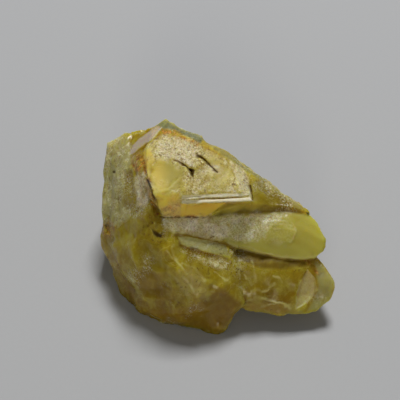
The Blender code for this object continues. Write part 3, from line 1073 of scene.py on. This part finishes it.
def frosted(tree, colour, mottle):
    """The body under its pale threads, painted light on edges, painted shade in hollows, frost and ash.
    """
    speckle = tree.span(tree.noise(*SPECKLE), 0.56, 0.68)
    shaded = tree.more(tree.attribute("brown_and_shade"), tree.attribute("low"))
    sparse = tree.span(shaded, 0.0, 1.0, 0.28, 0.08)
    colour = tree.blend(tree.times(speckle, mottle, sparse), colour, BODY_PALE)
    colour = tree.blend(tree.times(tree.attribute("veins"), 0.7), colour, VEIN_PALE)
    # Painted light on edges and painted shade in hollows
    colour = tree.blend(tree.times(tree.attribute("painted_edge_glow"), 0.30), colour, BODY_PALE)
    colour = tree.blend(tree.times(tree.attribute("painted_hollow_shade"), 0.45), colour, BROWN_TONE_AND_SHADE)
    grain = tree.span(tree.noise(*GRAIN), 0.45, 0.56)
    cover = tree.times(tree.attribute("frost"), tree.span(mottle, 0.0, 1.0, 0.35, 1.0))
    colour = tree.blend(cover, colour, tree.blend(grain, FROST_SHADE, FROST_PALE))
    ash = tree.times(tree.attribute("ash"), tree.span(grain, 0.0, 1.0, 0.55, 1.0))
    colour = tree.blend(ash, colour, ASH)
    # Pale tone and painted highlights on rims and ridges
    return tree.blend(tree.times(tree.attribute("pale_and_highlight"), 0.6), colour, PALE)


def grainy(tree, colour):
    """Painted glints and brown flecks, down to the finest tooth."""
    glints = tree.attribute("glints")
    spark = tree.span(tree.noise(*SPARK), 0.57, 0.62)
    colour = tree.blend(tree.times(spark, glints, 0.95), colour, GLINT)
    tooth = tree.noise(*TOOTH)
    lighter = tree.times(tree.span(tooth, 0.51, 0.60), glints, 0.5)
    darker = tree.times(tree.span(tooth, 0.49, 0.40), glints, 0.25)
    colour = tree.blend(lighter, colour, GLINT)
    colour = tree.blend(darker, colour, FLECK_BROWN)
    fleck = tree.span(tree.noise(*FLECK), 0.56, 0.62)
    return tree.blend(tree.times(fleck, tree.attribute("flecks"), 0.9), colour, FLECK_BROWN)


def stained(tree, colour):
    """Rust and dark cracks."""
    stain = tree.blend(tree.span(tree.noise(*STAIN), 0.45, 0.62), RUST_BROWN, RUST_ORANGE)
    rust = tree.times(tree.attribute("rust"), tree.span(tree.noise(*RUST_PATCH), 0.38, 0.60))
    colour = tree.blend(rust, colour, stain)
    return tree.blend(tree.attribute("dark"), colour, CRACK_BROWN)


def garnet_colour(tree):
    """The body under its frost, grain, growth steps painted bright (partly as a highlight), painted
    shade, stains and cracks.
    """
    mottle = tree.span(tree.noise(*MOTTLE), 0.36, 0.66)
    colour = grainy(tree, frosted(tree, body_colour(tree), mottle))
    # Growth steps painted near-white, partly as a painted highlight
    steps = tree.blend(tree.span(tree.noise(*STEP_GRAIN), 0.40, 0.62), STEP_SHADE, STEP_WHITE)
    colour = tree.blend(tree.attribute("steps"), colour, steps)
    # Painted shade where faces lie away from the light
    dimmed = tree.blend(1.0, colour, PAINTED_SHADE_TINT, "MULTIPLY")
    colour = tree.blend(tree.attribute("painted_shade"), colour, dimmed)
    return stained(tree, colour)


def garnet_material():
    """Translucent garnet, drier and more solid where it is frosted, matt or cracked."""
    material = bpy.data.materials.new("garnet")
    tree = Tree(material)
    shader = tree.shader
    tree.put(shader.inputs["Base Color"], garnet_colour(tree))
    frost = tree.attribute("frost")
    steps = tree.attribute("steps")
    dry = tree.more(frost, tree.attribute("matt"))
    polish = tree.span(tree.attribute("polish"), 0.0, 1.0, 1.0, POLISHED)
    tree.put(shader.inputs["Roughness"], tree.times(tree.span(dry, 0.0, 1.0, *ROUGHNESS), polish))
    opaque = tree.more(tree.more(dry, steps), tree.attribute("dark"))
    tree.put(shader.inputs["Transmission Weight"], tree.span(opaque, 0.0, 0.8, *CLARITY))
    shader.inputs["IOR"].default_value = GARNET_IOR
    shader.inputs["Specular IOR Level"].default_value = GARNET_SPECULAR
    deep = tree.times(tree.span(frost, 0.0, 1.0, 1.0, 0.6), tree.span(steps, 0.0, 1.0, 1.0, 0.2))
    tree.put(shader.inputs["Subsurface Weight"], deep)
    shader.inputs["Subsurface Radius"].default_value = SCATTER_RADIUS
    shader.inputs["Subsurface Scale"].default_value = SCATTER_SCALE * MM
    strength = tree.span(frost, 0.0, 1.0, *BUMP_STRENGTH)
    tree.put(shader.inputs["Normal"], tree.bump(tree.noise(*FINE_BUMP), strength, BUMP_HEIGHT))
    absorb = tree.nodes.new("ShaderNodeVolumeAbsorption")
    absorb.inputs["Color"].default_value = ABSORPTION_COLOUR
    absorb.inputs["Density"].default_value = ABSORPTION_DENSITY
    tree.links.new(absorb.outputs[0], tree.nodes["Material Output"].inputs["Volume"])
    return material


# Stage, in metres

FLOOR_SIDE = 4.0
FLOOR_SHADE = (0.485, 0.495, 0.515)
FLOOR_PALE = (0.505, 0.515, 0.535)
FLOOR_ROUGHNESS = 0.9
FLOOR_SPECULAR = 0.1
LIT_POINT = (0.0, 0.0, 0.008)
WINDOW_PLACE = (0.09, 0.50, 0.81)
WINDOW_SIDE = 0.24
WINDOW_WATTS = 7.3
WINDOW_COLOUR = (1.0, 0.99, 0.97)
FILL_PLACE = (-0.04, -0.55, 0.20)
FILL_SIDE = 0.14
FILL_WATTS = 0.62
FILL_COLOUR = (1.0, 0.94, 0.74)
ROOM_COLOUR = (0.97, 0.98, 1.0, 1.0)
ROOM_STRENGTH = 0.09


def floor_material():
    """Pale, matt card with a faint fine tooth."""
    material = bpy.data.materials.new("floor")
    tree = Tree(material)
    tone = tree.blend(tree.noise(*FLOOR_TOOTH), FLOOR_SHADE, FLOOR_PALE)
    tree.put(tree.shader.inputs["Base Color"], tone)
    tree.shader.inputs["Roughness"].default_value = FLOOR_ROUGHNESS
    tree.shader.inputs["Specular IOR Level"].default_value = FLOOR_SPECULAR
    return material


def add_floor():
    half = FLOOR_SIDE / 2
    mesh = bpy.data.meshes.new("floor")
    corners = [(-half, -half, 0), (half, -half, 0), (half, half, 0), (-half, half, 0)]
    mesh.from_pydata(corners, [], [(0, 1, 2, 3)])
    floor = bpy.data.objects.new("floor", mesh)
    bpy.context.scene.collection.objects.link(floor)
    mesh.materials.append(floor_material())


def add_area_light(name, place, side, power, colour):
    """A square soft light that points at the crystal."""
    data = bpy.data.lights.new(name, "AREA")
    data.shape = "SQUARE"
    data.size = side
    data.energy = power
    data.color = colour
    light = bpy.data.objects.new(name, data)
    bpy.context.scene.collection.objects.link(light)
    light.location = place
    way = Vector(LIT_POINT) - Vector(place)
    light.rotation_euler = way.to_track_quat("-Z", "Y").to_euler()


def add_lights():
    add_area_light("window", WINDOW_PLACE, WINDOW_SIDE, WINDOW_WATTS, WINDOW_COLOUR)
    add_area_light("fill", FILL_PLACE, FILL_SIDE, FILL_WATTS, FILL_COLOUR)
    world = bpy.data.worlds.new("studio")
    bpy.context.scene.world = world
    world.use_nodes = True
    background = world.node_tree.nodes["Background"]
    background.inputs["Color"].default_value = ROOM_COLOUR
    background.inputs["Strength"].default_value = ROOM_STRENGTH


def add_camera():
    """The camera of the photo."""
    data = bpy.data.cameras.new("camera")
    data.sensor_width = CAMERA_SENSOR
    data.lens = FOCAL_PIXELS / IMAGE_SIDE * CAMERA_SENSOR
    data.clip_start = CAMERA_CLIP * MM
    camera = bpy.data.objects.new("camera", data)
    bpy.context.scene.collection.objects.link(camera)
    camera.location = CAMERA_PLACE * MM
    camera.rotation_euler = (math.pi / 2 - CAMERA_TILT, 0.0, 0.0)
    bpy.context.scene.camera = camera


crystal = crystal_surface(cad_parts["garnet_crystal"])
crystal.data.materials.clear()
crystal.data.materials.append(garnet_material())
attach(crystal, "root")
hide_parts("garnet_crystal")
add_floor()
add_lights()
add_camera()
bpy.context.scene.view_settings.view_transform = "Standard"
